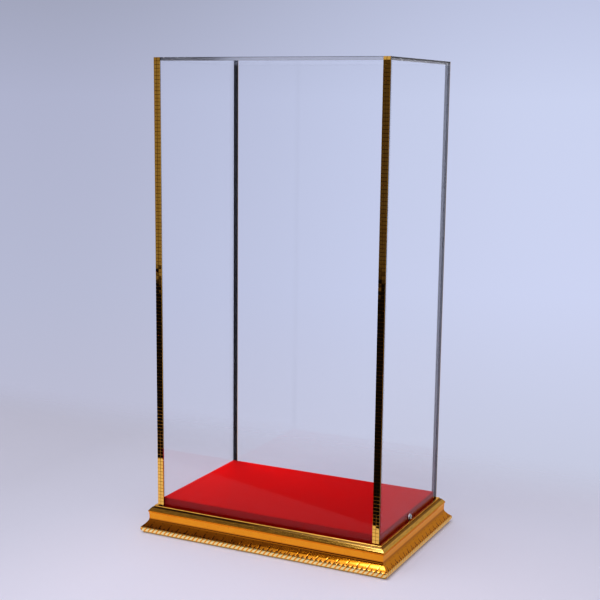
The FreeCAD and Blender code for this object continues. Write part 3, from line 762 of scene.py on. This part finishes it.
def build_side_screws():
    """Each screw is turned at the origin, gets its recess, and is then put in its place."""
    for side, sign in (("left", -1), ("right", 1)):
        low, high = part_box(f"side_screw_{side}")
        seat = max(abs(corner.x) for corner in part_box(f"screw_washer_{side}"))
        tip = min(abs(low.x), abs(high.x))
        crown = max(abs(low.x), abs(high.x))
        axis_z = (low.z + high.z) / 2
        mesh = screw_mesh(seat - tip, crown - seat)
        piece = new_piece(f"pan_head_screw_{side}", f"{side}_screw", [f"side_screw_{side}"],
                          [BRIGHT_ZINC])
        fill(piece, mesh)
        cutter = bpy.data.objects.new("recess_cutter", bpy.data.meshes.new("recess_cutter"))
        bpy.context.scene.collection.objects.link(cutter)
        fill(cutter, cross_cutter(crown - seat), smooth=False)
        recess = piece.modifiers.new("recess", "BOOLEAN")
        recess.operation = "DIFFERENCE"
        recess.solver = "EXACT"
        recess.use_self = True
        recess.object = cutter
        bpy.context.view_layer.update()
        cut = bpy.data.meshes.new_from_object(piece.evaluated_get(bpy.context.evaluated_depsgraph_get()))
        piece.modifiers.remove(recess)
        bpy.data.objects.remove(cutter)
        inward = Matrix.Rotation(math.pi if sign > 0 else 0.0, 4, "Z")
        cut.transform(Matrix.Translation((sign * seat, 0.0, axis_z)) @ inward)
        piece.data = cut
        mark_sharp(piece, 32)


build_side_screws()


# ---------------------------------------------------------------- camera, floor and studio light

CAMERA_PLACE = Vector((0.6488, -1.3311, 0.54))
CAMERA_YAW = math.radians(26.093)
CAMERA_PITCH = math.radians(10.313)
CAMERA_ROLL = math.radians(0.655)
CAMERA_LENS = 72.83
CAMERA_SHIFT = (0.0018, 0.031)


def build_camera():
    forward = Vector((-math.sin(CAMERA_YAW) * math.cos(CAMERA_PITCH),
                      math.cos(CAMERA_YAW) * math.cos(CAMERA_PITCH), -math.sin(CAMERA_PITCH)))
    level = Vector((math.cos(CAMERA_YAW), math.sin(CAMERA_YAW), 0.0))
    upright = level.cross(forward)
    right = level * math.cos(CAMERA_ROLL) + upright * math.sin(CAMERA_ROLL)
    up = upright * math.cos(CAMERA_ROLL) - level * math.sin(CAMERA_ROLL)
    lens = bpy.data.cameras.new("camera")
    lens.lens = CAMERA_LENS
    lens.sensor_width = 36.0
    lens.shift_x, lens.shift_y = CAMERA_SHIFT
    lens.clip_end = 50.0
    camera = bpy.data.objects.new("camera", lens)
    turned = Matrix((right, up, -forward)).transposed().to_4x4()
    camera.matrix_world = Matrix.Translation(CAMERA_PLACE) @ turned
    bpy.context.scene.collection.objects.link(camera)
    bpy.context.scene.camera = camera


RAYS = ("camera", "diffuse", "glossy", "transmission", "shadow")


def stage_mesh(name, points, material, seen_by):
    """A flat sheet of the studio; seen_by says which rays meet it."""
    sheet = bpy.data.objects.new(name, bpy.data.meshes.new(name))
    sheet.data.from_pydata(points, [], [range(len(points))])
    sheet.data.materials.append(material)
    bpy.context.scene.collection.objects.link(sheet)
    for ray in RAYS:
        setattr(sheet, f"visible_{ray}", ray in seen_by)
    sheet.visible_volume_scatter = False


FLOOR_RADIUS = 1.3
FLOOR_FALL = 0.2 * MM       # how far the floor lies under the case's foot
CARD_FALL = 0.4 * MM
BOUNCE_EDGE = ((-0.329, -0.372), (0.092, -0.238))   # the bounce card's front edge runs through these


def floor_material():
    """A pale sheet of paper with a painted pool of light before the case and painted shade towards the left,
    that runs off into the backdrop.
    """
    material, s = new_material("pale_floor")
    place = object_place(s)
    axes = s.axes(place)
    distance = s.add("ShaderNodeVectorMath", {0: place}, operation="LENGTH").outputs["Value"]
    rim = s.remap(distance, 0.55, 1.2, interpolation="SMOOTHSTEP")
    rear = s.remap(axes[1], 0.22, 0.46, interpolation="SMOOTHSTEP")
    fade = s.math("MAXIMUM", rim, rear)
    # Painted light: the paper is brighter near a pool before the case.
    from_painted_pool = s.add("ShaderNodeVectorMath", {0: place, 1: (0.12, -0.24, 0.0)}, operation="DISTANCE")
    away = s.remap(from_painted_pool.outputs["Value"], 0.1, 0.45)
    # Painted shade: the paper darkens towards the left.
    shade = s.remap(axes[0], -0.45, -0.12, 0.86, 1.0)
    paper = s.mix(away, (0.87, 0.82, 0.96, 1.0), (0.78, 0.77, 0.92, 1.0))
    paper = s.mix(1.0, paper, shade, "MULTIPLY")
    grain = s.bump(s.noise(place, 900.0), 0.05 * MM, 0.2)
    matt = s.add("ShaderNodeBsdfPrincipled", {
        "Base Color": paper, "Roughness": 0.9, "Specular IOR Level": 0.1, "Normal": grain}).outputs[0]
    beyond = s.add("ShaderNodeBsdfTransparent").outputs[0]
    finish_with(s, s.add("ShaderNodeMixShader", {0: fade, 1: matt, 2: beyond}).outputs[0])
    return material


def card_material(name, colour, strength, fade=None):
    """A glowing card in soft patches, with painted shadow past the case's right side. fade is the two places
    in x between which the glow comes up from nothing."""
    material, s = new_material(name)
    place = object_place(s)
    axes = s.axes(place)
    # Painted shadow: past the case's right side the glow falls to a little over half.
    right = s.remap(axes[0], 0.13, 0.2)
    soft = s.mix(s.noise(place, 3.0), colour, tuple(0.92 * part for part in colour[:3]) + (1.0,))
    painted_shadow_glow = tuple(0.55 * part for part in colour[:3]) + (1.0,)
    glow = s.remap(axes[0], *fade, 0.0, strength) if fade else strength
    finish_with(s, s.add("ShaderNodeEmission", {
        "Color": s.mix(right, soft, painted_shadow_glow), "Strength": glow}).outputs[0])
    return material


def build_floor():
    """The floor, and a card in its place that only the shiny surfaces see, from its front edge back."""
    turns = [math.radians(angle) for angle in range(0, 360, 5)]
    disc = [(FLOOR_RADIUS * math.cos(turn), FLOOR_RADIUS * math.sin(turn), -FLOOR_FALL) for turn in turns]
    stage_mesh("floor", disc, floor_material(), ("camera", "diffuse", "transmission", "shadow"))
    left, right = (Vector((*end, 0.0)) for end in BOUNCE_EDGE)
    run = (right - left).normalized()
    behind = Vector((-run.y, run.x, 0.0)) * FLOOR_RADIUS
    left -= run
    right += run
    card = [(p.x, p.y, -CARD_FALL) for p in (left, right, right + behind, left + behind)]
    # A painted reflection: the bounce card glows with the lit floor's brightness for the shiny surfaces,
    # which do not see the floor itself.
    stage_mesh("bounce_card", card, card_material("bounce", (1.0, 0.93, 0.95, 1.0), 0.82), ("glossy",))


LAMP_HEIGHT = 1.6
CARD_RIGHT = 0.5
CARD_FADE = 0.3
SOFTBOX_CARDS = {           # left, front and rear edge, and strength
    "softbox_face": (-0.62, -1.35, -0.78, 15.0),
    "softbox_rim": (-0.9, -0.78, -0.35, 1.2),
}


def area_light(name, place, size, energy, aim):
    """A soft lamp that lights the matt surfaces; the shiny ones see the cards instead."""
    light = bpy.data.lights.new(name, "AREA")
    light.shape = "SQUARE"
    light.size = size
    light.energy = energy
    lamp = bpy.data.objects.new(name, light)
    lamp.location = place
    lamp.rotation_euler = (Vector(aim) - Vector(place)).to_track_quat("-Z", "Y").to_euler()
    lamp.visible_camera = False
    lamp.visible_glossy = False
    lamp.visible_transmission = False
    bpy.context.scene.collection.objects.link(lamp)
    return lamp


def build_light():
    """A softbox before the case, as a lamp and as two cards for the reflections, and a small lamp on the
    flannel's rear left corner."""
    area_light("softbox", (-0.05, -0.75, LAMP_HEIGHT), 1.1, 11.0, (-0.05, -0.75, 0.0))
    flannel_lamp = area_light("flannel_fill", (-0.3, 0.26, 0.3), 0.15, 3.8, (-0.08, 0.04, 0.04))
    lit_by_fill = bpy.data.collections.new("lit_by_fill")
    lit_by_fill.objects.link(bpy.data.objects["red_flannel_sheet"])
    flannel_lamp.light_linking.receiver_collection = lit_by_fill
    for name, (left, front, rear, strength) in SOFTBOX_CARDS.items():
        face = [(x, y, LAMP_HEIGHT) for x, y in (
            (left, front), (CARD_RIGHT, front), (CARD_RIGHT, rear), (left, rear))]
        glow = card_material(name, (1.0, 0.98, 1.0, 1.0), strength, (left, left + CARD_FADE))
        stage_mesh(name, face, glow, ("glossy",))


def backdrop(s, direction, axes):
    """What the camera sees, and what shows through the acrylic: pale blue-grey, brighter to the right."""
    level = (math.cos(CAMERA_YAW), math.sin(CAMERA_YAW), 0.0)
    sideways = s.add("ShaderNodeVectorMath", {0: direction, 1: level}, operation="DOT_PRODUCT")
    right = s.remap(sideways.outputs["Value"], -0.22, 0.24, interpolation="SMOOTHSTEP")
    height = s.remap(axes[2], -0.292, 0.077)
    darker = s.ramp(height, (0.0, (0.515, 0.515, 0.651, 1.0)), (0.37, (0.468, 0.491, 0.651, 1.0)),
                    (0.79, (0.429, 0.451, 0.610, 1.0)), (1.0, (0.362, 0.381, 0.503, 1.0)))
    brighter = s.ramp(height, (0.0, (0.565, 0.591, 0.745, 1.0)), (0.37, (0.610, 0.658, 0.888, 1.0)),
                      (0.79, (0.597, 0.651, 0.871, 1.0)), (1.0, (0.527, 0.571, 0.775, 1.0)))
    return s.mix(right, darker, brighter)


def studio(s, axes):
    """What the gold, the steel and the acrylic's faces reflect: a dim room ahead, a bright wall behind."""
    azimuth = s.math("ARCTAN2", axes[0], s.math("MULTIPLY", axes[1], -1.0))
    turn = s.math("MULTIPLY_ADD", azimuth, 0.5 / math.pi, 0.5)

    def at(degrees):
        """The place in the ramp of a direction this far round from the front, to the right."""
        return 0.5 + degrees / 360

    walls = {-100: 0.6, -75: 0.5, -45: 0.27, -31: 0.24, -25: 0.095, 0: 0.06, 60: 0.05, 95: 0.65,
             125: 0.6, 155: 0.42}
    room = s.ramp(turn, *((at(degrees), grey(level)) for degrees, level in walls.items()))
    ahead = s.remap(axes[1], -0.15, 0.05, 1.0, 0.0)
    low = s.remap(axes[2], -0.155, -0.135, 1.0, 0.0)
    high = s.remap(axes[2], 0.4, 0.75)
    beside = s.math("COMPARE", turn, at(-22), 9 / 360)
    window = s.math("MULTIPLY", beside, s.math("COMPARE", axes[2], 0.33, 0.09))
    room = s.mix(window, room, grey(0.55))
    room = s.mix(s.math("MULTIPLY", ahead, low), room, grey(0.012))
    room = s.mix(s.math("MULTIPLY", ahead, high), room, grey(0.14))
    room = s.mix(s.remap(axes[2], 0.78, 0.88), room, grey(0.11))
    return s.mix(1.0, room, (1.0, 0.985, 1.0, 1.0), "MULTIPLY")


def build_world():
    """The backdrop for the camera and through the acrylic, the studio for reflections, and plain light."""
    world = bpy.data.worlds.new("studio")
    world.use_nodes = True
    bpy.context.scene.world = world
    s = Shader(world.node_tree)
    direction = s.add("ShaderNodeTexCoord").outputs["Generated"]
    axes = s.axes(direction)
    path = s.add("ShaderNodeLightPath").outputs
    seen = s.math("MAXIMUM", path["Is Camera Ray"], path["Is Transmission Ray"])
    lit = s.mix(path["Is Glossy Ray"], (0.54, 0.54, 0.565, 1.0), studio(s, axes))
    lift = s.math("MULTIPLY_ADD", path["Is Transmission Ray"], 0.05, 1.0)
    view = s.add("ShaderNodeVectorMath", {0: backdrop(s, direction, axes), "Scale": lift}, operation="SCALE")
    colour = s.mix(seen, lit, view.outputs[0])
    background = s.add("ShaderNodeBackground", {"Color": colour, "Strength": 1.0}).outputs[0]
    s.add("ShaderNodeOutputWorld", {"Surface": background})


def set_view():
    """A tone curve that deepens the blacks, and enough bounces for light to pass through all the sheets."""
    scene = bpy.context.scene
    scene.view_settings.view_transform = "Standard"
    scene.view_settings.use_curve_mapping = True
    tone = scene.view_settings.curve_mapping
    for level, shown in ((0.02, 0.008), (0.06, 0.04), (0.15, 0.135), (0.3, 0.296)):
        tone.curves[3].points.new(level, shown)
    tone.update()
    scene.cycles.max_bounces = 24
    scene.cycles.transparent_max_bounces = 24
    scene.cycles.transmission_bounces = 24
    scene.cycles.glossy_bounces = 8
    scene.cycles.use_denoising = True


build_camera()
build_floor()
build_light()
build_world()
set_view()
